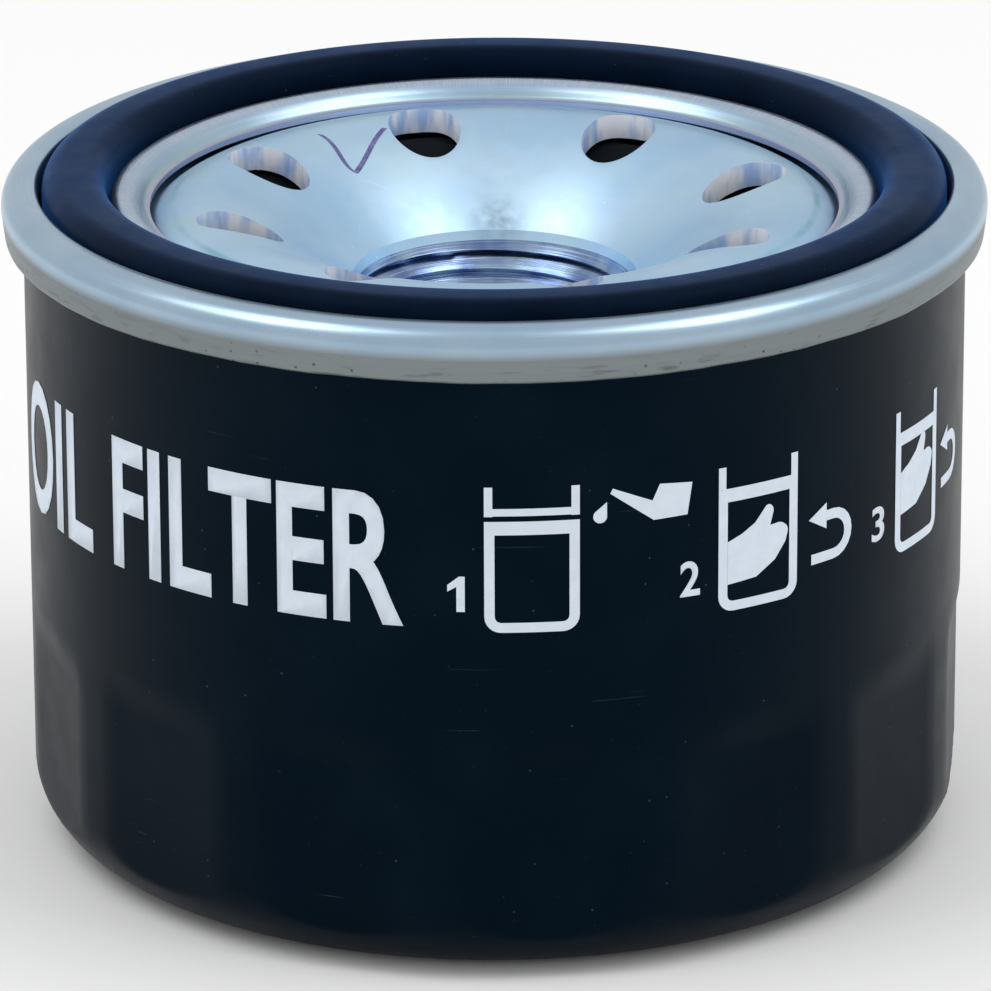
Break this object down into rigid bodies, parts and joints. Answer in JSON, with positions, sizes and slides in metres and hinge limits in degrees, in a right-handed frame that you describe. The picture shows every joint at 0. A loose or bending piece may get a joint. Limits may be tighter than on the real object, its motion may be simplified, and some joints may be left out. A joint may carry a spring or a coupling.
{
  "type": "spin-on oil filter",
  "caption": "Spin-on engine oil filter: black can with wrench flats, rolled seam, rubber gasket, dished threaded plate, pleated element and spring-loaded bypass valve.",
  "frame": {"origin": "centre of the can's flat base, on the axis; the filter stands on this base", "axes": "+Z along the axis towards the threaded end; +X and +Y are any two directions across it"},
  "size_m": [0.0794, 0.0794, 0.0556],
  "materials": {
    "can_paint": "satin black enamel",
    "lid_zinc": "zinc-plated sheet, satin",
    "plate_zinc": "blue-clear zinc plating",
    "gasket_rubber": "moulded nitrile rubber, matte",
    "compound": "cured seaming compound",
    "drain_rubber": "moulded nitrile rubber",
    "cap_steel": "tinned sheet steel",
    "adhesive": "cured plastisol",
    "filter_paper": "resin-treated filter paper",
    "spring_steel": "hard-drawn spring wire",
    "seal_rubber": "moulded nitrile rubber"
  },
  "bodies": {
    "housing": {"can": "can_paint", "seaming_lid": "lid_zinc", "seam_compound": "compound", "tapping_plate": "plate_zinc", "sealing_gasket": "gasket_rubber", "element_spring": "spring_steel"},
    "element": {"upper_end_cap": "cap_steel", "lower_end_cap": "cap_steel", "upper_adhesive": "adhesive", "lower_adhesive": "adhesive", "pleated_media": "filter_paper", "pleat_seam_clip": "cap_steel", "centre_tube": "cap_steel", "bypass_cage": "cap_steel", "bypass_spring": "spring_steel"},
    "bypass_valve": {"bypass_valve_plate": "cap_steel", "bypass_seal": "seal_rubber"},
    "drain_valve": {"anti_drain_valve": "drain_rubber"}
  },
  "joints": [
    {"name": "element_float", "type": "slide", "parent": "housing", "child": "element", "axis": [0, 0, -1], "range_m": [0, 0.0012], "stiffness_N_per_m": 6000, "springref_m": -0.005, "deforming": ["element_spring"]},
    {"name": "bypass_lift", "type": "slide", "parent": "element", "child": "bypass_valve", "axis": [0, 0, 1], "range_m": [0, 0.0025], "stiffness_N_per_m": 2000, "springref_m": -0.006, "deforming": ["bypass_spring"]},
    {"name": "anti_drain_lip", "type": "slide", "parent": "housing", "child": "drain_valve", "axis": [0, 0, -1], "range_m": [0, 0.002], "stiffness_N_per_m": 300, "springref_m": -0.002, "deforming": ["anti_drain_valve"]}
  ]
}
